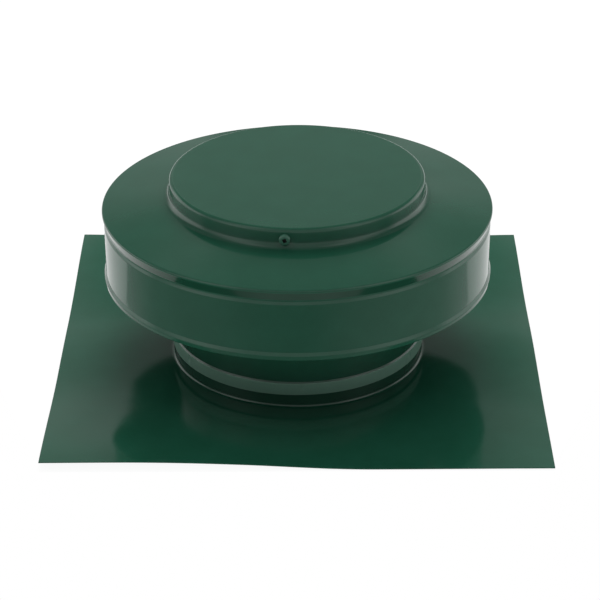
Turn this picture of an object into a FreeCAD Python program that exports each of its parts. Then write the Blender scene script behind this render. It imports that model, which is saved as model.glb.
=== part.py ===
import FreeCAD, Part
import math
import os

from FreeCAD import Vector

# Round back roof vent with an 8 inch throat. Millimetres, +Z up.
# The origin is the middle of the throat, level with the underside of the flashing.
# Azimuths are counted in degrees from the front (-Y) towards +X.

# Sheet and square flashing
sheet = 0.8
flashing_side = 393.7
upstand_height = 3.2
upstand_bend = 2.0

# Collar, the short tube that stands in the flashing's hole
throat_radius = 102.0
collar_height = 21.2
slip_clearance = 0.1
lip_clearance = 0.05

# Head tube, from below: an expanded skirt over the collar, a plain wall, louvers and a plain rim
collar_end_gap = 0.6
skirt_length = 9.5
skirt_flare = 0.7
joggle_height = 1.4
joggle_bend = 1.2
plain_wall = 32.2
louver_height = 85.0
louver_count = 36
louver_width = 12.6
louver_turn = 60.0
rim_height = 17.6

# Stake dents that lock the skirt onto the collar
stake_count = 6
stake_phase = 1.8
stake_rise = 5.0
stake_width = 4.4
stake_clearance = 0.05

# Spun hood, from the top: boss, slope, rolled shoulder, tuck, skirt and open hem
rim_to_hood = 0.8
boss_height = 15.2
boss_bend = 3.5
boss_foot_bend = 3.5
slope_angle = 10.0
shoulder_radius = 159.1
shoulder_bend = 1.75
tuck_step = 1.9
tuck_height = 11.4
hood_depth = 85.0
hem_height = 6.5
hem_gap = 0.6

# Screws through the boss into the head tube's rim
screw_count = 3
screw_phase = -4.5
screw_drop = 6.0
screw_shank_radius = 2.4
screw_length = 12.7
screw_point = 4.0
screw_head_radius = 4.65
screw_head_height = 3.1
screw_head_edge = 1.1
screw_head_flat = 2.1
screw_hole_clearance = 0.1
drive_width = 2.86
drive_depth = 2.0
drive_turn = 20.0

# Radii and heights that follow from the sizes above
collar_radius = throat_radius + sheet
skirt_inner_radius = collar_radius + slip_clearance
boss_radius = collar_radius + slip_clearance + sheet
skirt_top = collar_height + collar_end_gap
skirt_bottom = skirt_top - skirt_length
stake_height = skirt_bottom + stake_rise
slot_bottom = skirt_top + plain_wall
slot_top = slot_bottom + louver_height
head_tube_top = slot_top + rim_height
screw_height = head_tube_top - screw_drop
hood_top = head_tube_top + rim_to_hood + sheet
hem_bottom = hood_top - hood_depth

os.makedirs("parts", exist_ok=True)


def unit(dr, dz):
    """Return the direction (dr, dz) at length one."""
    length = math.hypot(dr, dz)
    return dr / length, dz / length


def point(r, z):
    """Return the point of the section plane at radius r and height z."""
    return Vector(r, 0, z)


def straight(start, end):
    """Return the line between two section points, or nothing where two bends meet."""
    if math.dist(start, end) < 1e-6:
        return []
    return [Part.makeLine(point(*start), point(*end))]


def rounded_edges(corners, radii):
    """Return the lines and tangent arcs that follow the corners; a corner of radius 0 stays sharp."""
    edges = []
    start = corners[0]
    for before, corner, after, radius in zip(corners, corners[1:], corners[2:], radii):
        if radius == 0:
            edges += straight(start, corner)
            start = corner
            continue
        way_in = unit(corner[0] - before[0], corner[1] - before[1])
        way_out = unit(after[0] - corner[0], after[1] - corner[1])
        turn = math.acos(max(-1.0, min(1.0, way_in[0] * way_out[0] + way_in[1] * way_out[1])))
        run = radius * math.tan(turn / 2)
        inward = unit(way_out[0] - way_in[0], way_out[1] - way_in[1])
        depth = radius / math.cos(turn / 2) - radius
        first = (corner[0] - run * way_in[0], corner[1] - run * way_in[1])
        middle = (corner[0] + depth * inward[0], corner[1] + depth * inward[1])
        last = (corner[0] + run * way_out[0], corner[1] + run * way_out[1])
        edges += straight(start, first)
        edges.append(Part.Arc(point(*first), point(*middle), point(*last)).toShape())
        start = last
    return edges + straight(start, corners[-1])


def sheet_section(path, thickness):
    """Return the face of bent sheet whose one side follows path, with the metal on its right.

    The path holds (r, z, bend radius) from one cut edge to the other.
    """
    corners = [(r, z) for r, z, bend in path]
    headings = [unit(b[0] - a[0], b[1] - a[1]) for a, b in zip(corners, corners[1:])]
    rights = [(dz, -dr) for dr, dz in headings]
    other = [(corners[0][0] + thickness * rights[0][0], corners[0][1] + thickness * rights[0][1])]
    radii = []
    other_radii = []
    for (r, z, bend), n1, n2 in zip(path[1:-1], rights, rights[1:]):
        share = thickness / (1 + n1[0] * n2[0] + n1[1] * n2[1])
        other.append((r + share * (n1[0] + n2[0]), z + share * (n1[1] + n2[1])))
        turns_left = n1[0] * n2[1] - n1[1] * n2[0] > 0
        radii.append(bend)
        if bend == 0:
            other_radii.append(0)
        else:
            other_radii.append(bend + thickness if turns_left else bend - thickness)
    last = rights[-1]
    other.append((corners[-1][0] + thickness * last[0], corners[-1][1] + thickness * last[1]))
    near = rounded_edges(corners, radii)
    far = rounded_edges(other, other_radii)
    end = Part.makeLine(point(*corners[-1]), point(*other[-1]))
    begin = Part.makeLine(point(*other[0]), point(*corners[0]))
    return Part.Face(Part.Wire(Part.__sortEdges__(near + [end] + far + [begin])))


def spun(section):
    """Return the solid that the section sweeps in a full turn about the vent's axis."""
    return section.revolve(Vector(0, 0, 0), Vector(0, 0, 1), 360)


def facing(shape, azimuth):
    """Return the shape, drawn facing +X, turned to face the azimuth."""
    return shape.rotated(Vector(0, 0, 0), Vector(0, 0, 1), azimuth - 90)


def azimuths(count, phase):
    """Return evenly spaced azimuths, the first at phase."""
    return [phase + 360 * index / count for index in range(count)]


def screw_holes(radius):
    """Return the drills for the holes that the screws pass through."""
    drill = Part.makeCylinder(
        screw_shank_radius + screw_hole_clearance, 3 * screw_length,
        Vector(radius - screw_length, 0, screw_height), Vector(1, 0, 0),
    )
    return [facing(drill, azimuth) for azimuth in azimuths(screw_count, screw_phase)]


def base_flashing():
    """Square sheet whose hole is drawn up into a short upstand around the collar."""
    upstand_radius = collar_radius + lip_clearance + sheet
    reach = flashing_side
    section = sheet_section(
        [(upstand_radius, upstand_height, 0), (upstand_radius, sheet, upstand_bend), (reach, sheet, 0)],
        sheet,
    )
    half = flashing_side / 2
    blank = Part.makeBox(flashing_side, flashing_side, 2 * upstand_height, Vector(-half, -half, 0))
    return spun(section).common(blank)


def collar():
    """Tube whose foot is swaged out into the bend under the flashing's upstand."""
    lip_bend = upstand_bend + sheet + lip_clearance + sheet
    lip_floor = -lip_clearance - sheet
    section = sheet_section(
        [
            (throat_radius + 2 * lip_bend, lip_floor, 0),
            (throat_radius, lip_floor, lip_bend),
            (throat_radius, collar_height, 0),
        ],
        sheet,
    )
    below = Part.makeBox(
        flashing_side, flashing_side, 2 * lip_bend,
        Vector(-flashing_side / 2, -flashing_side / 2, -2 * lip_bend),
    )
    return spun(section).cut(below)


def stake_dents(tube):
    """Return the tube with its ring of stake dents, each pressed in until it meets the collar."""
    flare_share = (skirt_top - stake_height) / skirt_length
    inside = skirt_inner_radius + skirt_flare * flare_share
    outside = inside + sheet
    depth = inside - collar_radius - stake_clearance
    ball_radius = ((stake_width / 2) ** 2 + depth ** 2) / (2 * depth)
    centre = Vector(outside - depth + ball_radius, 0, stake_height)
    keep = Part.makeCylinder(outside, collar_height, Vector(0, 0, 0))
    bump = Part.makeSphere(ball_radius + sheet, centre).common(keep)
    dent = Part.makeSphere(ball_radius, centre)
    turns = azimuths(stake_count, stake_phase)
    return tube.fuse([facing(bump, turn) for turn in turns]).cut([facing(dent, turn) for turn in turns])


def louver_post():
    """Web between two slots with its fin, lanced from the slot and curled outwards, facing +X."""
    outer = throat_radius + sheet
    middle = throat_radius + sheet / 2
    web = 2 * math.pi / louver_count - louver_width / middle
    turn = math.radians(louver_turn)
    curl = louver_width / turn
    centre_x = middle + curl

    def on_wall(radius, angle):
        return Vector(radius * math.cos(angle), radius * math.sin(angle), slot_bottom)

    def on_fin(radius, angle):
        return Vector(centre_x - radius * math.cos(angle), -radius * math.sin(angle), slot_bottom)

    inside = curl + sheet / 2
    outside = curl - sheet / 2
    edges = [
        Part.Arc(on_wall(throat_radius, web), on_wall(throat_radius, web / 2), on_wall(throat_radius, 0)).toShape(),
        Part.Arc(on_fin(inside, 0), on_fin(inside, turn / 2), on_fin(inside, turn)).toShape(),
        Part.makeLine(on_fin(inside, turn), on_fin(outside, turn)),
        Part.Arc(on_fin(outside, turn), on_fin(outside, turn / 2), on_fin(outside, 0)).toShape(),
        Part.Arc(on_wall(outer, 0), on_wall(outer, web / 2), on_wall(outer, web)).toShape(),
        Part.makeLine(on_wall(outer, web), on_wall(throat_radius, web)),
    ]
    face = Part.Face(Part.Wire(edges))
    return face.extrude(Vector(0, 0, louver_height))


def louver_ring():
    """Head tube: skirt over the collar, plain wall, louvers all round and a plain rim."""
    lower = spun(sheet_section(
        [
            (skirt_inner_radius + skirt_flare, skirt_bottom, 0),
            (skirt_inner_radius, skirt_top, joggle_bend),
            (throat_radius, skirt_top + joggle_height, joggle_bend),
            (throat_radius, slot_bottom, 0),
        ],
        sheet,
    ))
    rim = spun(sheet_section([(throat_radius, slot_top, 0), (throat_radius, head_tube_top, 0)], sheet))
    post = louver_post()
    posts = [facing(post, azimuth) for azimuth in azimuths(louver_count, 0)]
    tube = stake_dents(lower).fuse(posts + [rim])
    return tube.cut(screw_holes(throat_radius)).removeSplitter()


def hood():
    """Spun sheet: flat boss over the head tube, slope, rolled shoulder, tuck, skirt and open hem."""
    slope = math.radians(slope_angle)
    boss_foot = hood_top - boss_height
    shoulder_corner = boss_foot - (shoulder_radius - boss_radius) * math.tan(slope)
    skirt_radius = shoulder_radius - tuck_step
    fold = hem_bottom + sheet
    section = sheet_section(
        [
            (0, hood_top, 0),
            (boss_radius, hood_top, boss_bend),
            (boss_radius, boss_foot, boss_foot_bend),
            (shoulder_radius, shoulder_corner, shoulder_bend),
            (skirt_radius, shoulder_corner - tuck_height, 0),
            (skirt_radius, fold, 0),
            (skirt_radius + hem_gap, fold, 0),
            (skirt_radius + hem_gap, hem_bottom + hem_height, 0),
        ],
        sheet,
    )
    return spun(section).cut(screw_holes(throat_radius))


def hood_screws():
    """Pan head screws with a square drive, lying level in the boss wall."""
    crown = (screw_head_flat, screw_head_height)
    rim = (screw_head_radius, screw_head_edge)
    crown_bend = min(screw_head_height - screw_head_edge, screw_head_radius - screw_head_flat)
    outline = [
        (0, -screw_length, 0),
        (screw_shank_radius, screw_point - screw_length, 0),
        (screw_shank_radius, 0, 0),
        (screw_head_radius, 0, 0),
        (rim[0], rim[1], 0),
        (rim[0], crown[1], crown_bend),
        (0, crown[1], 0),
    ]
    edges = rounded_edges([(r, z) for r, z, bend in outline], [bend for r, z, bend in outline[1:-1]])
    axis_line = straight((0, crown[1]), (0, -screw_length))
    body = spun(Part.Face(Part.Wire(Part.__sortEdges__(edges + axis_line))))
    half = drive_width / 2
    recess = Part.makeBox(
        drive_width, drive_width, 2 * drive_depth, Vector(-half, -half, screw_head_height - drive_depth),
    )
    recess.rotate(Vector(0, 0, 0), Vector(0, 0, 1), drive_turn)
    screw = body.cut(recess)
    screw.rotate(Vector(0, 0, 0), Vector(0, 1, 0), 90)
    screw.translate(Vector(boss_radius, 0, screw_height))
    return Part.makeCompound([facing(screw, azimuth) for azimuth in azimuths(screw_count, screw_phase)])


nodes = {
    "base_flashing": base_flashing(),
    "collar": collar(),
    "louver_ring": louver_ring(),
    "hood": hood(),
    "hood_screws": hood_screws(),
}
for name, shape in nodes.items():
    shape.exportStep("parts/" + name + ".step")
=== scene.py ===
"""Round roof vent of painted sheet metal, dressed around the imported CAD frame."""
import logging
import math
from collections.abc import Callable, Sequence
from dataclasses import dataclass, field
from enum import Enum
from itertools import pairwise

import bmesh
import bpy
from bmesh.types import BMEdge, BMFace, BMVert
from bpy.types import Material, Node, NodeSocket, NodeTree, Object, World
from mathutils import Matrix, Vector


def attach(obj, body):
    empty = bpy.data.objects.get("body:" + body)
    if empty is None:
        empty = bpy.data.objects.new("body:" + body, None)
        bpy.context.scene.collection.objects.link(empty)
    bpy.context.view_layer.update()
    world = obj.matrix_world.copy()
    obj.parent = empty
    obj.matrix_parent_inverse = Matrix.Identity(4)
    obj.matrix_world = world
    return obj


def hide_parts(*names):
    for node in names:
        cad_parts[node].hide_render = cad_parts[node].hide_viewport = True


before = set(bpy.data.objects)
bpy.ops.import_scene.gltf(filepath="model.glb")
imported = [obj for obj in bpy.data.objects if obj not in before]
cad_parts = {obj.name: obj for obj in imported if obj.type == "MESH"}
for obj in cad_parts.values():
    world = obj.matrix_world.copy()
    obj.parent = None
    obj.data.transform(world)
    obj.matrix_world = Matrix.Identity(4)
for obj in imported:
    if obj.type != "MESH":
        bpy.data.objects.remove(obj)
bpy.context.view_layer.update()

log = logging.getLogger("roof_vent")

MM = 0.001
UP = Vector((0.0, 0.0, 1.0))
WHITE = (1.0, 1.0, 1.0, 1.0)

# Two places, vertices or angles count as one within these metres and radians
SAME_PLACE = 1e-6
SAME_VERTEX = 1e-7
SAME_ANGLE = 1e-4

Range = tuple[float, float]
Color = tuple[float, float, float]


class Pick(Enum):
    """What an edit-mode selection is made of."""

    VERT = "VERT"
    EDGE = "EDGE"
    FACE = "FACE"


class Side(Enum):
    """Side of a surface on which its metal lies, as Solidify counts it."""

    BEHIND = -1.0
    MIDDLE = 0.0


@dataclass(frozen=True)
class Corner:
    """Corner of a sheet's section, in millimetres, with the radius and the steps of its bend."""

    radius: float
    height: float
    bend: float = 0.0
    steps: int = 8


def outward(azimuth: float) -> Vector:
    """Return the level direction away from the vent's axis at an azimuth."""
    turn = math.radians(azimuth)
    return Vector((math.sin(turn), -math.cos(turn), 0.0))


def polar(radius: float, azimuth: float, height: float) -> Vector:
    """Return a point in metres.

    Args:
        radius: Distance from the vent's axis in millimetres.
        azimuth: Degrees from the front, which is -Y, towards +X.
        height: Millimetres above the underside of the flashing.

    Returns:
        The point in the frame that every piece shares.
    """
    return (outward(azimuth) * radius + UP * height) * MM


def middle_line(path: Sequence[Corner], thickness: float) -> list[Corner]:
    """Return the middle line of bent sheet whose one side follows a path, with the metal on its right.

    Args:
        path: Corners of the side that is known, with its bends.
        thickness: Thickness of the sheet in millimetres.

    Returns:
        The corners of the line halfway through the sheet, with the bends that it has there.
    """
    half = thickness / 2
    flat = [Vector((corner.radius, corner.height)) for corner in path]
    rights = [Vector(((b - a).y, (a - b).x)).normalized() for a, b in pairwise(flat)]
    middle = [Corner(*(flat[0] + half * rights[0]))]
    for corner, place, before, after in zip(path[1:-1], flat[1:-1], rights, rights[1:]):
        spot = place + half * (before + after) / (1 + before.dot(after))
        grows = before.x * after.y - before.y * after.x > 0
        bend = corner.bend + (half if grows else -half) if corner.bend else 0.0
        middle.append(Corner(spot.x, spot.y, bend, corner.steps))
    middle.append(Corner(*(flat[-1] + half * rights[-1])))
    return middle


class Bench:
    """Edit-mode work that several pieces share, done with operators as by hand."""

    @staticmethod
    def clear() -> None:
        """Leave edit mode and deselect every object."""
        if bpy.context.object and bpy.context.object.mode != "OBJECT":
            bpy.ops.object.mode_set(mode="OBJECT")
        bpy.ops.object.select_all(action="DESELECT")

    @staticmethod
    def take(piece: Object) -> None:
        """Select one piece and nothing else, out of edit mode."""
        Bench.clear()
        piece.select_set(True)
        bpy.context.view_layer.objects.active = piece

    @staticmethod
    def name_new(name: str) -> Object:
        """Name the primitive that was just added, and its mesh, and return it."""
        piece = bpy.context.object
        piece.name = name
        piece.data.name = name
        return piece

    @staticmethod
    def edit(piece: Object) -> None:
        """Open a piece in edit mode with nothing in it selected."""
        Bench.take(piece)
        bpy.ops.object.mode_set(mode="EDIT")
        bpy.ops.mesh.select_all(action="DESELECT")

    @staticmethod
    def pick(piece: Object, kind: Pick, test: Callable[..., bool]) -> int:
        """Select the elements that pass a test, and nothing else.

        Args:
            piece: The object in edit mode.
            kind: Whether vertices, edges or faces are tested.
            test: Takes an element and says whether it is wanted.

        Returns:
            How many elements were selected.
        """
        bpy.ops.mesh.select_mode(type=kind.value)
        bpy.ops.mesh.select_all(action="DESELECT")
        mesh = bmesh.from_edit_mesh(piece.data)
        elements = {Pick.VERT: mesh.verts, Pick.EDGE: mesh.edges, Pick.FACE: mesh.faces}[kind]
        wanted = [element for element in elements if test(element)]
        for element in wanted:
            element.select_set(True)
        mesh.select_flush_mode()
        bmesh.update_edit_mesh(piece.data)
        return len(wanted)

    @staticmethod
    def modifier(piece: Object, kind: str, **settings: object) -> None:
        """Add a modifier to a piece, set it and apply it."""
        Bench.take(piece)
        modifier = piece.modifiers.new(kind.title(), kind)
        for key, value in settings.items():
            setattr(modifier, key, value)
        bpy.ops.object.modifier_apply(modifier=modifier.name)

    @staticmethod
    def section(name: str, corners: Sequence[Corner]) -> Object:
        """Draw a sheet's section as a line of edges, with its bends rounded.

        Args:
            name: Name of the new piece.
            corners: The section's corners, from one end of the sheet to the other.

        Returns:
            The piece, in edit mode, with its line in the plane y = 0.
        """
        Bench.clear()
        places = [Vector((corner.radius, 0.0, corner.height)) * MM for corner in corners]
        bpy.ops.mesh.primitive_plane_add(size=10 * MM)
        piece = Bench.name_new(name)
        Bench.edit(piece)
        kept = bmesh.from_edit_mesh(piece.data).verts[:][0].co.copy()
        Bench.pick(piece, Pick.VERT, lambda vert: (vert.co - kept).length > SAME_PLACE)
        bpy.ops.mesh.delete(type="VERT")
        bpy.ops.mesh.select_all(action="SELECT")
        bpy.ops.transform.translate(value=places[0] - kept)
        for here, there in pairwise(places):
            bpy.ops.mesh.extrude_vertices_move(TRANSFORM_OT_translate={"value": there - here})
        for before, corner, after, place in zip(places, corners[1:-1], places[2:], places[1:]):
            if corner.bend:
                turn = (place - before).angle(after - place)
                run = corner.bend * math.tan(turn / 2) * MM
                Bench.pick(piece, Pick.VERT, lambda vert: (vert.co - place).length < SAME_PLACE)
                bpy.ops.mesh.bevel(offset=run, segments=corner.steps, affect="VERTICES", clamp_overlap=False)
        return piece

    @staticmethod
    def spin(columns: int, angle: float = 360.0) -> None:
        """Sweep the whole section in edit mode round the vent's axis, by an angle in degrees."""
        bpy.ops.mesh.select_all(action="SELECT")
        bpy.ops.mesh.spin(steps=columns, angle=math.radians(angle), center=(0, 0, 0), axis=-UP)

    @staticmethod
    def merge(reach: float = 0.004) -> None:
        """Merge vertices within a reach in millimetres, in edit mode, and turn the faces one way."""
        bpy.ops.mesh.select_all(action="SELECT")
        bpy.ops.mesh.remove_doubles(threshold=reach * MM)
        bpy.ops.mesh.normals_make_consistent(inside=False)

    @staticmethod
    def face_towards(piece: Object, near: Vector, direction: Vector) -> None:
        """Turn all faces over if the face nearest a point looks away from a direction.

        Args:
            piece: The object in edit mode.
            near: A point beside the surface, in metres.
            direction: The way in which the surface there must look.
        """
        mesh = bmesh.from_edit_mesh(piece.data)
        nearest = min(mesh.faces, key=lambda face: (face.calc_center_median() - near).length)
        if nearest.normal.dot(direction) < 0:
            bpy.ops.mesh.select_all(action="SELECT")
            bpy.ops.mesh.flip_normals()

    @staticmethod
    def push(
        piece: Object, place: Vector, move: Vector, reach: float, falloff: str = "SMOOTH",
    ) -> None:
        """Push the surface at a place, with the surface around it following.

        Args:
            piece: The object in edit mode.
            place: The point that is pushed, in metres.
            move: How far it goes, in metres.
            reach: How far around the place the surface follows, in metres.
            falloff: Name of the proportional falloff.
        """
        mesh = bmesh.from_edit_mesh(piece.data)
        nearest = min(mesh.verts, key=lambda vert: (vert.co - place).length).co.copy()
        Bench.pick(piece, Pick.VERT, lambda vert: (vert.co - nearest).length < SAME_VERTEX)
        bpy.ops.transform.translate(
            value=move, use_proportional_edit=True, proportional_edit_falloff=falloff,
            proportional_size=reach,
        )

    @staticmethod
    def smooth(piece: Object, angle: float = 38.0, flatness: int = 60) -> None:
        """Shade a piece smooth up to an angle in degrees, with flat runs kept flat."""
        Bench.take(piece)
        bpy.ops.object.shade_smooth_by_angle(angle=math.radians(angle))
        Bench.modifier(piece, "WEIGHTED_NORMAL", keep_sharp=True, weight=flatness)

    @staticmethod
    def finish(piece: Object, node: str, slot: str, material: Material) -> None:
        """Dress a finished piece, tie it to the frame and report it.

        Args:
            piece: The finished mesh object.
            node: The CAD node that it stands for.
            slot: The record's material slot; not used.
            material: The finish that covers it.
        """
        Bench.clear()
        piece.data.materials.clear()
        piece.data.materials.append(material)
        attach(piece, "root")
        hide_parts(node)
        log.info("%s stands for %s: %d faces", piece.name, node, len(piece.data.polygons))


class Socket:
    """A shader value on which Python's operators build Math nodes."""

    def __init__(self, tree: NodeTree, output: NodeSocket) -> None:
        """Wrap an output socket of a node tree."""
        self.tree = tree
        self.output = output

    def math(self, operation: str, *others: "Socket | float") -> "Socket":
        """Return the result of a Math node on this value and others."""
        node = self.tree.nodes.new("ShaderNodeMath")
        node.operation = operation
        for slot, value in zip(node.inputs, (self, *others)):
            if isinstance(value, Socket):
                self.tree.links.new(value.output, slot)
            else:
                slot.default_value = value
        return Socket(self.tree, node.outputs[0])

    def __add__(self, other: "Socket | float") -> "Socket":
        """Add."""
        return self.math("ADD", other)

    def __sub__(self, other: "Socket | float") -> "Socket":
        """Subtract."""
        return self.math("SUBTRACT", other)

    def __mul__(self, other: "Socket | float") -> "Socket":
        """Multiply."""
        return self.math("MULTIPLY", other)

    def __rsub__(self, other: float) -> "Socket":
        """Subtract this value from a number."""
        return self.math("MULTIPLY_ADD", -1.0, other)

    __rmul__ = __mul__

    def ramp(self, low: float, high: float) -> "Socket":
        """Return a smooth step from 0 at low to 1 at high."""
        node = self.tree.nodes.new("ShaderNodeMapRange")
        node.interpolation_type = "SMOOTHSTEP"
        node.inputs["From Min"].default_value = low
        node.inputs["From Max"].default_value = high
        self.tree.links.new(self.output, node.inputs["Value"])
        return Socket(self.tree, node.outputs[0])

    def fall(self, low: float, high: float) -> "Socket":
        """Return a smooth step from 1 at low to 0 at high."""
        return 1.0 - self.ramp(low, high)


class Shader:
    """Node tree of a material or a world, with one method that makes its nodes."""

    def __init__(self, owner: Material | World) -> None:
        """Clear the owner's tree for new nodes."""
        owner.use_nodes = True
        self.tree = owner.node_tree
        self.tree.nodes.clear()

    def node(self, kind: str, settings: dict[str, object], values: dict[str | int, object]) -> Node:
        """Make a node.

        Args:
            kind: Blender's name of the node type, after "ShaderNode".
            settings: Attributes of the node, set before its sockets.
            values: A value, socket or Socket for each named or numbered input.

        Returns:
            The new node.
        """
        node = self.tree.nodes.new("ShaderNode" + kind)
        for key, value in settings.items():
            setattr(node, key, value)
        for key, value in values.items():
            if isinstance(value, Socket):
                value = value.output
            if isinstance(value, NodeSocket):
                self.tree.links.new(value, node.inputs[key])
            else:
                node.inputs[key].default_value = value
        return node

    def value(
        self, kind: str, settings: dict[str, object], values: dict[str | int, object], output: str | int = 0,
    ) -> Socket:
        """Make a node and return one of its outputs for shader maths."""
        return Socket(self.tree, self.node(kind, settings, values).outputs[output])

    def noise(self, place: NodeSocket, scale: float, detail: float, roughness: float = 0.5) -> Socket:
        """Return a noise that varies with a place."""
        values = {"Vector": place, "Scale": scale, "Detail": detail, "Roughness": roughness}
        return self.value("TexNoise", {}, values)

    def parts(self, vector: NodeSocket) -> list[Socket]:
        """Return the three parts of a vector."""
        outputs = self.node("SeparateXYZ", {}, {0: vector}).outputs
        return [Socket(self.tree, output) for output in outputs]

    def rays(self, *kinds: str) -> Socket:
        """Return 1 on rays of the named kinds and 0 on all others."""
        outputs = self.node("LightPath", {}, {}).outputs
        chosen, *more = (Socket(self.tree, outputs[kind]) for kind in kinds)
        for kind in more:
            chosen = chosen + kind
        return chosen.math("MINIMUM", 1.0)

    def blend(self, share: Socket, first: object, second: object) -> NodeSocket:
        """Return a mix of two colours, each a value or a socket."""
        return self.node("Mix", {"data_type": "RGBA"}, {0: share, 6: first, 7: second}).outputs[2]

    def choose(
        self, share: Socket | NodeSocket, first: NodeSocket, second: NodeSocket,
    ) -> NodeSocket:
        """Return one surface where a share is 0 and another where it is 1."""
        return self.node("MixShader", {}, {0: share, 1: first, 2: second}).outputs[0]

    def card(self, grey: float, glow: Socket) -> NodeSocket:
        """Return a matt grey surface that also glows."""
        matt = self.node("BsdfDiffuse", {}, {"Color": (grey, grey, grey, 1.0)})
        light = self.node("Emission", {}, {"Color": WHITE, "Strength": glow})
        return self.node("AddShader", {}, {0: matt.outputs[0], 1: light.outputs[0]}).outputs[0]


@dataclass(frozen=True)
class PowderCoat:
    """Glossy green powder coat: its colour, its gloss and the fine peel of its surface.

    A band, given by two heights, can have another colour, in which light or shade is painted: painted shade
    in the hood's groove, a painted highlight on the tube's skirt. Heights and the band's edges are in
    millimetres.
    """

    name: str = "green_powder_coat"
    color: Color = (0.0100, 0.0700, 0.0400)
    pale: Color = (0.0120, 0.0790, 0.0465)
    cloud_scale: float = 38.0
    cloud_range: Range = (0.35, 0.70)
    cloud_share: float = 0.7
    grain_scale: float = 900.0
    grain_range: Range = (0.3, 0.7)
    roughness: float = 0.10
    roughness_spread: float = 0.04
    refraction: float = 1.5
    peel_scale: float = 420.0
    peel_height: float = 0.012
    wave_scale: float = 22.0
    wave_height: float = 0.10
    band: Range | None = None
    band_edges: Range = (0.4, 0.6)
    # By default the band is pale and rougher; its pale colour is a painted highlight for the tube's skirt
    painted_light_color: Color = (0.155, 0.31, 0.235)
    band_roughness: float = 0.22

    def build(self) -> Material:
        """Return the finish as a new material."""
        material = bpy.data.materials.new(self.name)
        shader = Shader(material)
        place = shader.node("TexCoord", {}, {}).outputs["Object"]
        cloud = shader.noise(place, self.cloud_scale, detail=5.0, roughness=0.6)
        grain = shader.noise(place, self.grain_scale, detail=2.0)
        tint = cloud.ramp(*self.cloud_range) * self.cloud_share
        tint = tint + grain.ramp(*self.grain_range) * (1.0 - self.cloud_share)
        color = shader.blend(tint, (*self.color, 1.0), (*self.pale, 1.0))
        roughness = (cloud - 0.5) * self.roughness_spread + self.roughness
        # The band's colour is painted light or shade, as set: painted shade in the hood's groove, a painted
        # highlight on the tube's skirt
        if self.band:
            painted_light = self.painted_light_share(shader.parts(place)[2])
            color = shader.blend(painted_light, color, (*self.painted_light_color, 1.0))
            roughness = roughness + painted_light * self.band_roughness
        peel = shader.noise(place, self.peel_scale, detail=3.0)
        wave = shader.noise(place, self.wave_scale, detail=1.0)
        relief = peel * self.peel_height + wave * self.wave_height
        normal = shader.node("Bump", {}, {"Strength": 1.0, "Distance": MM, "Height": relief}).outputs[0]
        surface = shader.node(
            "BsdfPrincipled", {},
            {"Base Color": color, "Roughness": roughness, "IOR": self.refraction, "Normal": normal},
        )
        shader.node("OutputMaterial", {}, {"Surface": surface.outputs[0]})
        return material

    def painted_light_share(self, height: Socket) -> Socket:
        """Return 1 between the band's two heights and 0 beyond its soft edges."""
        low, high = (edge * MM for edge in self.band)
        below, above = (width * MM for width in self.band_edges)
        return height.ramp(low - below, low) * height.fall(high, high + above)


@dataclass
class Sheet:
    """Sizes that every sheet of the vent shares, in millimetres."""

    thickness: float = 0.8
    columns: int = 288

    def thicken(self, piece: Object, side: Side = Side.MIDDLE, quality: bool = False) -> None:
        """Give a surface the sheet's thickness, with the metal behind it or half on each side of it."""
        Bench.modifier(
            piece, "SOLIDIFY", thickness=self.thickness * MM, offset=side.value, use_even_offset=True,
            use_quality_normals=quality,
        )


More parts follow.
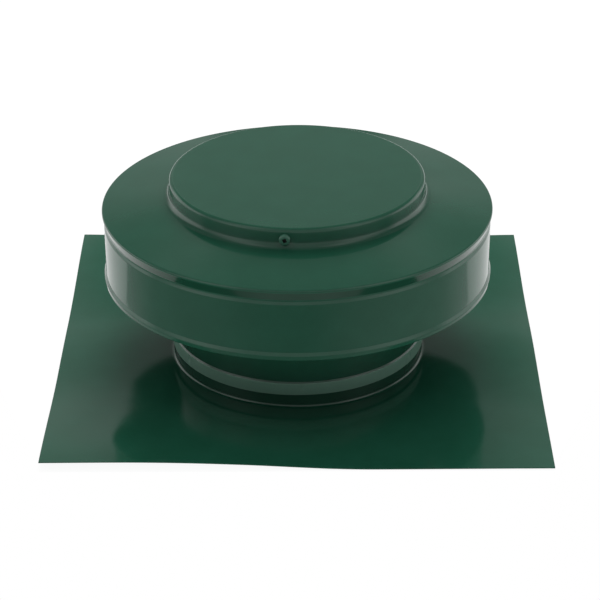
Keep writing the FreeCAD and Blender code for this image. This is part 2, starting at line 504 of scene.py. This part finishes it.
@dataclass
class Screws:
    """Pan head screws with a square drive, level in the boss wall."""

    count: int = 3
    phase: float = -4.95
    drop: float = 7.0
    seat: float = 0.55
    shank_radius: float = 2.4
    length: float = 12.7
    point: float = 4.0
    point_bend: float = 0.5
    head_radius: float = 4.65
    head_height: float = 3.1
    head_edge: float = 1.1
    head_flat: float = 2.1
    head_rim_bend: float = 0.15
    drive_width: float = 3.05
    drive_depth: float = 2.0
    drive_turn: float = 20.0
    drive_margin: float = 0.05
    crease: float = 32.0
    columns: int = 64

    def azimuths(self) -> list[float]:
        """Return the azimuth of each screw."""
        return [self.phase + 360.0 * index / self.count for index in range(self.count)]

    def build(
        self, wall_radius: float, height: float, material: Material, recess: Material,
    ) -> None:
        """Model one screw and set copies of it round the boss.

        Args:
            wall_radius: Outer radius of the boss wall, in millimetres.
            height: Height of the screws' axes.
            material: The finish of the screws.
            recess: The near-black painted shade inside the drive.
        """
        screw = self.model()
        deep = self.recess_faces(screw)
        for index, azimuth in enumerate(self.azimuths()):
            copy = screw.copy()
            copy.data = screw.data.copy()
            copy.name = f"hood_screw_{index + 1}"
            copy.data.name = copy.name
            bpy.context.scene.collection.objects.link(copy)
            out = outward(azimuth)
            level = UP.cross(out)
            turn = Matrix((level, out.cross(level), out)).transposed()
            copy.data.transform(turn.to_4x4())
            copy.data.transform(Matrix.Translation(polar(wall_radius - self.seat, azimuth, height)))
            Bench.finish(copy, "hood_screws", "screw_paint", material)
            # The drive's walls and floor take the second material, which is painted shade
            copy.data.materials.append(recess)
            for face in deep:
                copy.data.polygons[face].material_index = 1
        bpy.data.objects.remove(screw)

    def model(self) -> Object:
        """Return one screw that points down, with the underside of its head at the origin."""
        bend = min(self.head_height - self.head_edge, self.head_radius - self.head_flat)
        screw = Bench.section("hood_screw", [
            Corner(0.0, -self.length),
            Corner(self.shank_radius, self.point - self.length, self.point_bend, steps=3),
            Corner(self.shank_radius, 0.0),
            Corner(self.head_radius, 0.0, self.head_rim_bend, steps=2),
            Corner(self.head_radius, self.head_height, bend, steps=10),
            Corner(0.0, self.head_height),
        ])
        Bench.spin(self.columns)
        Bench.merge()
        Bench.face_towards(screw, Vector((0, 0, self.head_height * MM)), UP)
        self.cut_drive(screw)
        Bench.smooth(screw, self.crease)
        return screw

    def recess_faces(self, screw: Object) -> list[int]:
        """Return the faces of the drive's walls and floor, which get the near-black painted shade."""
        floor = self.head_height - self.drive_depth - self.drive_margin
        mouth = self.head_height - self.drive_margin
        reach = self.drive_width / math.sqrt(2) + self.drive_margin
        return [
            face.index for face in screw.data.polygons
            if face.center.xy.length < reach * MM and floor * MM < face.center.z < mouth * MM
        ]

    def cut_drive(self, screw: Object) -> None:
        """Sink the square drive into the head with a square bar that reaches well out of it."""
        Bench.clear()
        bpy.ops.mesh.primitive_cube_add(size=self.drive_width * MM)
        tool = Bench.name_new("square_drive")
        middle = self.head_height - self.drive_depth + self.drive_width / 2
        turn = Matrix.Rotation(math.radians(self.drive_turn), 4, "Z")
        tool.data.transform(turn @ Matrix.Translation((0, 0, middle * MM)))
        Bench.edit(tool)
        top = max(vert.co.z for vert in bmesh.from_edit_mesh(tool.data).verts)
        Bench.pick(tool, Pick.FACE, lambda face: face.calc_center_median().z > top - SAME_PLACE)
        bpy.ops.mesh.extrude_region_move(TRANSFORM_OT_translate={"value": (0, 0, self.drive_depth * MM)})
        bpy.ops.object.mode_set(mode="OBJECT")
        Bench.modifier(screw, "BOOLEAN", operation="DIFFERENCE", object=tool, solver="EXACT")
        bpy.data.objects.remove(tool)


@dataclass
class Hood:
    """Spun hood: flat boss, slope, rolled shoulder over a groove, skirt and a hem folded outwards."""

    sheet: Sheet
    top: float = 158.2
    boss_radius: float = 103.7
    boss_height: float = 15.2
    boss_bend: float = 3.5
    boss_foot_bend: float = 5.5
    slope_angle: float = 10.0
    shoulder_radius: float = 159.1
    shoulder_bend: float = 1.75
    tuck_step: float = 1.9
    tuck_height: float = 12.8
    tuck_bend: float = 2.0
    groove_depth: float = 3.0
    groove_height: float = 9.6
    groove_bend: float = 2.5
    # The groove's painted shade starts this far above the groove's floor and ends this far below the shoulder
    groove_shade_foot: float = 1.0
    groove_shade_drop: float = 2.8
    depth: float = 85.0
    hem_height: float = 6.5
    hem_gap: float = 0.6
    hem_belly: float = 3.2
    hem_bend: float = 3.0
    hem_closure: float = 0.02
    hem_edge: float = 0.06
    columns: int = 384
    dimple_depth: float = 0.70
    dimple_reach: float = 8.5
    wall_cuts: int = 5

    # Bends and run of the hem's fold, as shares of its radius
    fold_bends: Range = (0.999, 0.85)
    fold_run: float = 1.7

    def shoulder_height(self) -> float:
        """Return the height at which the slope meets the shoulder."""
        slope = (self.shoulder_radius - self.boss_radius) * math.tan(math.radians(self.slope_angle))
        return self.top - self.boss_height - slope

    def groove_painted_shade(self) -> Range:
        """Return the heights between which the groove's colour is darker: painted shade under the shoulder.
        """
        shoulder = self.shoulder_height()
        return shoulder - self.groove_height + self.groove_shade_foot, shoulder - self.groove_shade_drop

    def corners(self) -> list[Corner]:
        """Return the section's middle line, from the centre of the boss to the hem's edge."""
        foot = self.top - self.boss_height
        shoulder = self.shoulder_height()
        groove = self.shoulder_radius - self.groove_depth
        skirt = self.shoulder_radius - self.tuck_step
        thickness = self.sheet.thickness
        fold = self.top - self.depth + thickness
        turn = (self.hem_gap + thickness) / 2
        line = middle_line([
            Corner(0.0, self.top),
            Corner(self.boss_radius, self.top, self.boss_bend, steps=8),
            Corner(self.boss_radius, foot, self.boss_foot_bend, steps=10),
            Corner(self.shoulder_radius, shoulder, self.shoulder_bend, steps=12),
            Corner(groove, shoulder - self.groove_height, self.groove_bend, steps=6),
            Corner(skirt, shoulder - self.tuck_height, self.tuck_bend, steps=4),
            Corner(skirt, fold),
        ], thickness)
        inside, low = line[-1].radius, fold - thickness / 2
        first_bend, second_bend = (turn * share for share in self.fold_bends)
        return line[:-1] + [
            Corner(inside, low, first_bend, steps=6),
            Corner(inside + self.fold_run * turn, low, second_bend, steps=6),
            Corner(inside + 2 * turn, low + self.hem_belly, self.hem_bend, steps=6),
            Corner(inside + thickness + self.hem_closure, self.top - self.depth + self.hem_height),
        ]

    def build(self, screws: Screws, screw_height: float, material: Material) -> None:
        """Spin the hood, dimple it under its screws and give it its thickness.

        Args:
            screws: The screws that hold it.
            screw_height: Height of the screws' axes, in millimetres.
            material: The finish of the hood.
        """
        hood = Bench.section("spun_hood", self.corners())
        Bench.spin(self.columns)
        Bench.merge()
        Bench.face_towards(hood, Vector((0, 0, self.top * MM)), UP)
        self.add_rings(hood)
        for azimuth in screws.azimuths():
            place = polar(self.boss_radius, azimuth, screw_height)
            Bench.push(hood, place, outward(azimuth) * -self.dimple_depth * MM, self.dimple_reach * MM)
        self.sheet.thicken(hood, quality=True)
        self.feather_hem(hood)
        Bench.smooth(hood)
        Bench.finish(hood, "hood", "hood_paint", material)

    def feather_hem(self, hood: Object) -> None:
        """Draw the outer corner of the hem's edge in to the skirt, as paint closes the fold."""
        edge = (self.top - self.depth + self.hem_height) * MM
        skirt = (self.shoulder_radius - self.tuck_step) * MM
        half = self.sheet.thickness / 2 * MM

        def on_corner(vert: BMVert) -> bool:
            """Say whether a vertex lies on the outer corner of the edge."""
            return abs(vert.co.z - edge) < half and vert.co.xy.length > skirt + half

        Bench.edit(hood)
        found = Bench.pick(hood, Pick.VERT, on_corner)
        widest = max(vert.co.xy.length for vert in bmesh.from_edit_mesh(hood.data).verts if vert.select)
        shrink = (skirt + self.hem_edge * MM) / widest
        bpy.ops.transform.resize(value=(shrink, shrink, 1), center_override=(0, 0, 0))
        log.info("hem drawn in at %d points", found)

    def add_rings(self, hood: Object) -> None:
        """Divide the boss wall into rings, so that the dimples have vertices to move."""
        foot, rim = (self.top - self.boss_height) * MM, self.top * MM
        radius = self.boss_radius * MM

        def upright(edge: BMEdge) -> bool:
            """Say whether an edge runs up the flat of the boss wall."""
            on_wall = all(abs(vert.co.xy.length - radius) < MM for vert in edge.verts)
            low, high = sorted(vert.co.z for vert in edge.verts)
            return on_wall and foot < low and high < rim and high - low > self.sheet.thickness * 2 * MM

        Bench.pick(hood, Pick.EDGE, upright)
        bpy.ops.mesh.subdivide(number_cuts=self.wall_cuts)


@dataclass
class HeadTube:
    """Louvered head tube: expanded skirt, joggle, plain wall, curled louvers and a plain rim."""

    sheet: Sheet
    inner_radius: float = 102.0
    skirt_inner_radius: float = 102.9
    skirt_flare: float = 0.7
    skirt_bottom: float = 12.3
    skirt_top: float = 21.8
    joggle_height: float = 1.4
    joggle_bend: float = 1.2
    slot_bottom: float = 54.0
    slot_top: float = 139.0
    top: float = 156.6
    louver_count: int = 36
    louver_width: float = 12.6
    louver_turn: float = 60.0
    louver_columns: int = 7
    web_columns: int = 2
    slot_columns: int = 6
    stake_count: int = 6
    stake_phase: float = 1.8
    stake_height: float = 17.3
    stake_width: float = 4.4
    stake_depth: float = 0.40
    stake_cuts: int = 6

    def build(self, material: Material) -> None:
        """Model one louver's share of the tube, repeat it all round and give it its thickness."""
        half = self.sheet.thickness / 2
        middle = self.inner_radius + half
        skirt = self.skirt_inner_radius + half
        bend = self.joggle_bend - half
        plain = (self.skirt_top + self.slot_bottom) / 2
        tube = Bench.section("louvered_head_tube", [
            Corner(skirt + self.skirt_flare, self.skirt_bottom),
            Corner(skirt, self.skirt_top, bend, steps=4),
            Corner(middle, self.skirt_top + self.joggle_height, bend, steps=4),
            Corner(middle, self.slot_bottom),
            Corner(middle, self.slot_top),
            Corner(middle, self.top),
        ])
        share = 360.0 / self.louver_count
        slot = math.degrees(self.louver_width / middle)
        web = share - slot
        Bench.spin(self.web_columns, web)
        self.extend(tube, web, slot)
        self.open_slot(tube, web)
        self.curl_louver(tube, middle)
        bpy.ops.mesh.select_all(action="SELECT")
        bpy.ops.mesh.spin(
            steps=self.louver_count, angle=2 * math.pi, center=(0, 0, 0), axis=-UP, dupli=True,
        )
        Bench.merge()
        Bench.face_towards(tube, Vector((0, -middle, plain)) * MM, Vector((0, -1, 0)))
        self.press_stakes(tube)
        self.sheet.thicken(tube)
        Bench.smooth(tube)
        Bench.finish(tube, "louver_ring", "ring_paint", material)

    def extend(self, tube: Object, web: float, slot: float) -> None:
        """Spin the web's last edge line on over the slot's width, both given in degrees."""
        turn = math.radians(web)
        Bench.pick(tube, Pick.EDGE, lambda edge: all(
            abs(math.atan2(vert.co.y, vert.co.x) - turn) < SAME_ANGLE for vert in edge.verts))
        bpy.ops.mesh.spin(steps=self.slot_columns, angle=math.radians(slot), center=(0, 0, 0), axis=-UP)

    def open_slot(self, tube: Object, web: float) -> None:
        """Delete the wall where a slot is."""
        turn = math.radians(web)

        def in_slot(face: BMFace) -> bool:
            """Say whether a face lies in the slot."""
            centre = face.calc_center_median()
            return (
                self.slot_bottom * MM < centre.z < self.slot_top * MM
                and math.atan2(centre.y, centre.x) > turn + SAME_ANGLE
            )

        Bench.pick(tube, Pick.FACE, in_slot)
        bpy.ops.mesh.delete(type="FACE")

    def curl_louver(self, tube: Object, middle: float) -> None:
        """Spin the slot's edge outwards into a curled louver."""
        turn = math.radians(self.louver_turn)
        curl = self.louver_width / turn
        low, high = self.slot_bottom * MM, self.slot_top * MM
        Bench.pick(tube, Pick.EDGE, lambda edge: all(
            abs(vert.co.y) < SAME_PLACE and low - SAME_PLACE < vert.co.z < high + SAME_PLACE
            for vert in edge.verts))
        bpy.ops.mesh.spin(
            steps=self.louver_columns, angle=turn, center=((middle + curl) * MM, 0, 0), axis=-UP,
        )

    def press_stakes(self, tube: Object) -> None:
        """Press the ring of stake dents into the skirt."""
        share = (self.skirt_top - self.stake_height) / (self.skirt_top - self.skirt_bottom)
        radius = self.skirt_inner_radius + self.sheet.thickness / 2 + self.skirt_flare * share
        for index in range(self.stake_count):
            azimuth = self.stake_phase + 360.0 * index / self.stake_count
            place = polar(radius, azimuth, self.stake_height)
            reach = self.stake_width * MM

            def around(face: BMFace) -> bool:
                """Say whether a face lies round the dent."""
                centre = face.calc_center_median()
                on_skirt = self.skirt_bottom * MM < centre.z < self.skirt_top * MM
                return on_skirt and (centre - place).xy.length < reach

            Bench.pick(tube, Pick.FACE, around)
            bpy.ops.mesh.subdivide(number_cuts=self.stake_cuts)
            push = outward(azimuth) * -self.stake_depth * MM
            Bench.push(tube, place, push, self.stake_width / 2 * MM, "SPHERE")


@dataclass
class Collar:
    """Short tube whose foot is swaged out under the flashing's upstand."""

    sheet: Sheet
    inner_radius: float = 102.0
    height: float = 21.2
    lip_bend: float = 3.65
    lip_floor: float = -0.85

    def build(self, material: Material) -> None:
        """Spin the collar, give it its thickness and cut its lip off level with the flashing."""
        half = self.sheet.thickness / 2
        middle = self.inner_radius + half
        collar = Bench.section("collar_tube", [
            Corner(middle + 2 * self.lip_bend, self.lip_floor + half),
            Corner(middle, self.lip_floor + half, self.lip_bend - half, steps=12),
            Corner(middle, self.height),
        ])
        Bench.spin(self.sheet.columns)
        Bench.merge()
        Bench.face_towards(collar, Vector((0, -middle, self.height / 2)) * MM, Vector((0, -1, 0)))
        self.sheet.thicken(collar)
        Bench.edit(collar)
        bpy.ops.mesh.select_all(action="SELECT")
        bpy.ops.mesh.bisect(
            plane_co=(0, 0, 0), plane_no=UP, use_fill=True, clear_inner=True, threshold=SAME_VERTEX,
        )
        Bench.merge()
        Bench.smooth(collar)
        Bench.finish(collar, "collar", "collar_paint", material)


@dataclass(frozen=True)
class Bow:
    """Place where the flashing stands up, as shares of its half side, with lift and reach in millimetres."""

    across: float
    along: float
    lift: float
    reach: float


@dataclass
class Flashing:
    """Square flashing sheet with a drawn upstand round its hole, a bowed edge and lifted corners."""

    sheet: Sheet
    side: float = 393.68
    upstand_radius: float = 103.65
    upstand_height: float = 3.2
    upstand_bend: float = 2.0
    upstand_steps: int = 6
    rings: int = 26
    bows: tuple[Bow, ...] = (
        Bow(-1.0, 1.0, 8.4, 165.0),
        Bow(1.0, 1.0, 6.8, 165.0),
        Bow(-1.0, -1.0, 5.6, 150.0),
        Bow(1.0, -1.0, 0.6, 150.0),
        Bow(-0.60, -1.0, 1.5, 160.0),
        Bow(-0.32, -1.0, 4.0, 125.0),
        Bow(-1.0, 0.0, 1.5, 110.0),
        Bow(1.0, 0.0, 3.4, 110.0),
    )

    def build(self, material: Material) -> None:
        """Model the flat sheet, draw its upstand, bow it and give it its thickness."""
        half = self.side / 2 * MM
        top = self.sheet.thickness * MM
        plate = self.bridge_sheet(top)
        self.draw_upstand(plate, top)
        Bench.merge()
        Bench.face_towards(plate, Vector((half, half, top)), UP)
        for bow in self.bows:
            place = Vector((bow.across * half, bow.along * half, top))
            Bench.push(plate, place, UP * bow.lift * MM, bow.reach * MM)
        self.sheet.thicken(plate, Side.BEHIND)
        Bench.smooth(plate)
        Bench.finish(plate, "base_flashing", "flashing_paint", material)

    def bridge_sheet(self, top: float) -> Object:
        """Return a flat sheet at a height, bridged from its square outline to its hole, in edit mode."""
        Bench.clear()
        bpy.ops.mesh.primitive_plane_add(size=self.side * MM, location=(0, 0, top))
        plate = Bench.name_new("flashing_sheet")
        bpy.ops.object.transform_apply(location=True, rotation=True, scale=True)
        Bench.edit(plate)
        bpy.ops.mesh.select_all(action="SELECT")
        bpy.ops.mesh.delete(type="ONLY_FACE")
        bpy.ops.mesh.select_all(action="SELECT")
        bpy.ops.mesh.subdivide(number_cuts=self.sheet.columns // 4 - 1)
        bpy.ops.mesh.primitive_circle_add(
            vertices=self.sheet.columns, radius=self.upstand_radius * MM, location=(0, 0, top),
        )
        bpy.ops.mesh.select_all(action="SELECT")
        bpy.ops.mesh.bridge_edge_loops(number_cuts=self.rings, interpolation="LINEAR")
        return plate

    def draw_upstand(self, plate: Object, top: float) -> None:
        """Raise the hole's edge and round the corner at its foot."""
        inner = self.upstand_radius * MM

        def at_hole(edge: BMEdge) -> bool:
            """Say whether an edge lies round the hole, at the sheet's own height."""
            return all(
                abs(vert.co.xy.length - inner) < SAME_PLACE and abs(vert.co.z - top) < SAME_VERTEX
                for vert in edge.verts
            )

        Bench.pick(plate, Pick.EDGE, at_hole)
        rise = (self.upstand_height - self.sheet.thickness) * MM
        bpy.ops.mesh.extrude_edges_move(TRANSFORM_OT_translate={"value": (0, 0, rise)})
        Bench.pick(plate, Pick.EDGE, at_hole)
        bpy.ops.mesh.bevel(
            offset=self.upstand_bend * MM, segments=self.upstand_steps, affect="EDGES", clamp_overlap=False,
        )


@dataclass(frozen=True)
class Table:
    """Pale table, in metres, that ends in front of the vent and widens behind it."""

    front: float = -0.199
    strip: float = 0.02
    drop: float = 0.0004
    rows: tuple[Range, ...] = ((-0.05, 0.25), (0.01, 0.27), (0.10, 0.5), (3.0, 3.0))
    glow: float = 0.94
    shade: float = 0.08
    paint: float = 0.75
    mirror_fade: Range = (-0.20, 0.10)
    mirror_drop: float = 0.62
    sheet_edge: Range = (0.187, 0.197)
    sheet_hole: Range = (0.104, 0.112)
    underside_light: float = 0.7

    def lay(self) -> None:
        """Lay the table row by row, each given by the place of its back edge and half its width."""
        Bench.clear()
        bpy.ops.mesh.primitive_plane_add(size=1.0, location=(0, self.front + self.strip / 2, -self.drop))
        floor = Bench.name_new("floor")
        floor.scale = (-2 * self.front, self.strip, 1.0)
        bpy.ops.object.transform_apply(location=True, rotation=True, scale=True)
        Bench.edit(floor)
        for back, half in self.rows:
            places = [vert.co.copy() for vert in bmesh.from_edit_mesh(floor.data).verts]
            rear = max(place.y for place in places)
            width = max(place.x for place in places)
            Bench.pick(
                floor, Pick.EDGE, lambda edge: all(vert.co.y > rear - SAME_PLACE for vert in edge.verts),
            )
            bpy.ops.mesh.extrude_edges_move(TRANSFORM_OT_translate={"value": (0, back - rear, 0)})
            bpy.ops.transform.resize(value=(half / width, 1, 1), center_override=(0, back, 0))
        bpy.ops.mesh.select_all(action="SELECT")
        bpy.ops.mesh.normals_make_consistent(inside=False)
        Bench.face_towards(floor, Vector((0, 0, 0)), UP)
        bpy.ops.object.mode_set(mode="OBJECT")
        floor.data.materials.append(self.finish())

    def finish(self) -> Material:
        """Return the finish: pale where it is seen or mirrored, matt where it lights the vent."""
        material = bpy.data.materials.new("pale_table")
        shader = Shader(material)
        mirrored = shader.rays("Is Glossy Ray")
        seen = shader.rays("Is Camera Ray", "Is Glossy Ray", "Is Transmission Ray")
        place = shader.node("TexCoord", {}, {}).outputs["Object"]
        across, depth, _ = shader.parts(place)
        radius = shader.value("VectorMath", {"operation": "LENGTH"}, {0: place}, "Value")
        width, length = (part.math("ABSOLUTE").fall(*self.sheet_edge) for part in (across, depth))
        under = width * length
        level = (1.0 - mirrored * depth.fall(*self.mirror_fade) * self.mirror_drop) * (1.0 - mirrored * under)
        lit = under * radius.ramp(*self.sheet_hole) * self.underside_light
        above = shader.choose(seen, shader.card(self.paint, lit), shader.card(self.shade, level * self.glow))
        below = shader.node("NewGeometry", {}, {}).outputs["Backfacing"]
        clear = shader.node("BsdfTransparent", {}, {}).outputs[0]
        shader.node("OutputMaterial", {}, {"Surface": shader.choose(below, above, clear)})
        return material


@dataclass(frozen=True)
class Room:
    """Room that the paint mirrors: its levels, where 1 is white, and the directions where they change.

    Ranges are in degrees above the horizon or from the front. Those named across are the sideways
    part of a direction of length 1.
    """

    wall: float = 0.33
    ceiling: Range = (22.0, 32.0)
    ceiling_drop: float = 0.11
    ground: Range = (-12.0, -2.0)
    ground_drop: float = 0.16
    ground_sides: Range = (5.0, 60.0)
    ground_sides_gain: float = 0.12
    ground_rear: Range = (90.0, 118.0)
    ground_rear_gain: float = 0.17
    ground_right_across: Range = (0.05, 0.5)
    ground_right_gain: float = 0.09
    rear: Range = (100.0, 120.0)
    pane_foot: Range = (14.0, 22.0)
    pane_top: Range = (38.0, 46.0)
    pane_inner_across: Range = (0.05, 0.12)
    pane_outer_across: Range = (0.15, 0.24)
    pane_gain: float = 0.22
    gap_top: Range = (17.0, 23.0)
    gap_edge_across: Range = (0.05, 0.10)
    gap_drop: float = 0.22
    front_edge: Range = (60.0, 100.0)
    front_foot: Range = (-4.0, 4.0)
    front_top: Range = (60.0, 80.0)
    front_gain: float = 0.26
    front_sides: Range = (25.0, 55.0)
    front_sides_gain: float = 0.45
    near_top: Range = (-60.0, -45.0)
    near_edge: Range = (20.0, 50.0)
    near_gain: float = 0.22
    panel_near: Range = (82.0, 96.0)
    panel_far: Range = (130.0, 150.0)
    panel_foot: Range = (-14.0, -4.0)
    panel_top: Range = (18.0, 30.0)
    panel_gain: float = 1.0

    def level(self, x: Socket, away: Socket, rise: Socket) -> Socket:
        """Return the room's brightness in a direction.

        Args:
            x: Part of the direction that points to the right.
            away: Degrees from the front.
            rise: Degrees above the horizon.

        Returns:
            The level, where 1 is white.
        """
        aside = x.math("ABSOLUTE")
        rear = away.ramp(*self.rear)
        ground = self.ground_drop - away.ramp(*self.ground_sides) * self.ground_sides_gain
        ground = ground - away.ramp(*self.ground_rear) * self.ground_rear_gain
        ground = ground - x.ramp(*self.ground_right_across) * self.ground_right_gain
        level = self.wall - rise.ramp(*self.ceiling) * self.ceiling_drop - rise.fall(*self.ground) * ground
        pane = rise.ramp(*self.pane_foot) * rise.fall(*self.pane_top)
        pane = pane * aside.ramp(*self.pane_inner_across) * aside.fall(*self.pane_outer_across)
        level = level + rear * pane * self.pane_gain
        gap = rise.fall(*self.gap_top) * aside.fall(*self.gap_edge_across)
        level = level - rear * gap * self.gap_drop
        front = away.fall(*self.front_edge) * rise.ramp(*self.front_foot) * rise.fall(*self.front_top)
        level = level + front * (away.ramp(*self.front_sides) * self.front_sides_gain + self.front_gain)
        level = level + rise.fall(*self.near_top) * away.fall(*self.near_edge) * self.near_gain
        panel = away.ramp(*self.panel_near) * away.fall(*self.panel_far)
        panel = panel * rise.ramp(*self.panel_foot) * rise.fall(*self.panel_top)
        return level + panel * self.panel_gain


@dataclass(frozen=True)
class Dome:
    """Soft light from all round: levels, and ranges in degrees above the horizon or from the front."""

    low: float = 0.48
    high: float = 0.95
    climb: Range = (8.0, 58.0)
    front: float = 0.12
    front_edge: Range = (10.0, 100.0)
    front_top: Range = (35.0, 65.0)
    bounce: float = 1.40
    bounce_foot: Range = (-40.0, -14.0)
    bounce_top: Range = (-8.0, 0.0)
    bounce_sides: Range = (20.0, 80.0)

    def level(self, away: Socket, rise: Socket) -> Socket:
        """Return the light from a direction, dim from the front and bright off a pale ground."""
        level = rise.ramp(*self.climb) * (self.high - self.low) + self.low
        front = away.fall(*self.front_edge) * rise.fall(*self.front_top)
        level = level * (1.0 - front * (1.0 - self.front))
        bounce = rise.ramp(*self.bounce_foot) * rise.fall(*self.bounce_top) * self.bounce
        return level + bounce * (away.ramp(*self.bounce_sides) + 1.0)


@dataclass
class Studio:
    """The photograph's camera, with a soft box overhead and the world, in metres and degrees."""

    image_side: float = 600.0
    focal_pixels: float = 2233.29
    sensor: float = 36.0
    eye: Vector = field(default_factory=lambda: Vector((0.01312, -1.64701, 0.90142)))
    heading: float = -0.3928
    pitch: float = 27.5187
    roll: float = -0.3452
    lamp_place: Vector = field(default_factory=lambda: Vector((0.0, 1.12, 1.33)))
    lamp_target: Vector = field(default_factory=lambda: Vector((0.0, 0.0, 0.1)))
    lamp_side: float = 0.95
    lamp_power: float = 18.0

    def build(self) -> None:
        """Set the camera, the table, the lamp and the world."""
        self.set_camera()
        Table().lay()
        self.hang_lamp()
        self.set_world()
        bpy.context.scene.view_settings.view_transform = "Standard"

    def set_camera(self) -> None:
        """Place the camera from its heading, pitch and roll in degrees."""
        camera = bpy.data.cameras.new("camera")
        camera.sensor_width = self.sensor
        camera.lens = self.focal_pixels * self.sensor / self.image_side
        eye = bpy.data.objects.new("camera", camera)
        bpy.context.scene.collection.objects.link(eye)
        heading, pitch, roll = (math.radians(angle) for angle in (self.heading, self.pitch, self.roll))
        ahead = Vector((
            math.sin(heading) * math.cos(pitch), math.cos(heading) * math.cos(pitch), -math.sin(pitch),
        ))
        level = Vector((math.cos(heading), -math.sin(heading), 0.0))
        above = level.cross(ahead)
        right = level * math.cos(roll) + above * math.sin(roll)
        up = above * math.cos(roll) - level * math.sin(roll)
        turn = Matrix((right, up, -ahead)).transposed().to_4x4()
        eye.matrix_world = Matrix.Translation(self.eye) @ turn
        bpy.context.scene.camera = eye

    def hang_lamp(self) -> None:
        """Hang a soft box overhead that neither the camera nor the paint sees."""
        data = bpy.data.lights.new("overhead", "AREA")
        data.shape = "RECTANGLE"
        data.size, data.size_y, data.energy = self.lamp_side, self.lamp_side, self.lamp_power
        lamp = bpy.data.objects.new("overhead", data)
        lamp.location = self.lamp_place
        lamp.rotation_euler = (self.lamp_place - self.lamp_target).to_track_quat("Z", "Y").to_euler()
        lamp.visible_camera = False
        lamp.visible_glossy = False
        bpy.context.scene.collection.objects.link(lamp)

    def set_world(self) -> None:
        """Give the world its white background, the room that the paint mirrors and the soft light."""
        world = bpy.data.worlds.new("studio")
        bpy.context.scene.world = world
        shader = Shader(world)
        x, y, z = shader.parts(shader.node("TexCoord", {}, {}).outputs["Generated"])
        degrees = math.degrees(1.0)
        away = (x.math("ARCTAN2", y * -1.0) * degrees).math("ABSOLUTE")
        rise = z.math("ARCSINE") * degrees
        mirrored = shader.rays("Is Glossy Ray")
        seen = shader.rays("Is Camera Ray", "Is Transmission Ray")
        level = Dome().level(away, rise) * (1.0 - mirrored) + Room().level(x, away, rise) * mirrored
        light = shader.node("Background", {}, {"Color": WHITE, "Strength": level}).outputs[0]
        white = shader.node("Background", {}, {"Color": WHITE, "Strength": 1.0}).outputs[0]
        shader.node("OutputWorld", {}, {"Surface": shader.choose(seen, light, white)})


def dress(sheet: Sheet) -> None:
    """Build every piece of the vent, each in its own finish."""
    screws = Screws()
    tube = HeadTube(sheet)
    hood = Hood(sheet)
    screw_height = tube.top - screws.drop
    flashing_paint = PowderCoat(
        name="flashing_powder_coat", color=(0.0125, 0.0830, 0.0480), pale=(0.0145, 0.0920, 0.0550),
    )
    # The tube's skirt band is pale and rougher; its pale colour is a painted highlight
    tube_paint = PowderCoat(name="tube_powder_coat", band=(tube.skirt_bottom, tube.skirt_top))
    # The hood's band darkens the groove under the shoulder: painted shade
    hood_paint = PowderCoat(
        name="hood_powder_coat", band=hood.groove_painted_shade(), painted_light_color=(0.0070, 0.0480, 0.0270),
        band_roughness=0.0,
    )
    screw_paint = PowderCoat(name="screw_paint", color=(0.034, 0.120, 0.080), pale=(0.040, 0.135, 0.090))
    # Near-black painted shade inside the screws' square drives
    recess_painted_shade = PowderCoat(name="recess_painted_shade", color=(0.001, 0.003, 0.002), pale=(0.002, 0.005, 0.004))
    Flashing(sheet).build(flashing_paint.build())
    Collar(sheet).build(PowderCoat().build())
    tube.build(tube_paint.build())
    hood.build(screws, screw_height, hood_paint.build())
    screws.build(hood.boss_radius, screw_height, screw_paint.build(), recess_painted_shade.build())


def main() -> None:
    """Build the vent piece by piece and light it."""
    logging.basicConfig(level=logging.INFO, format="%(name)s: %(message)s")
    Studio().build()
    dress(Sheet())


if __name__ == "__main__":
    main()
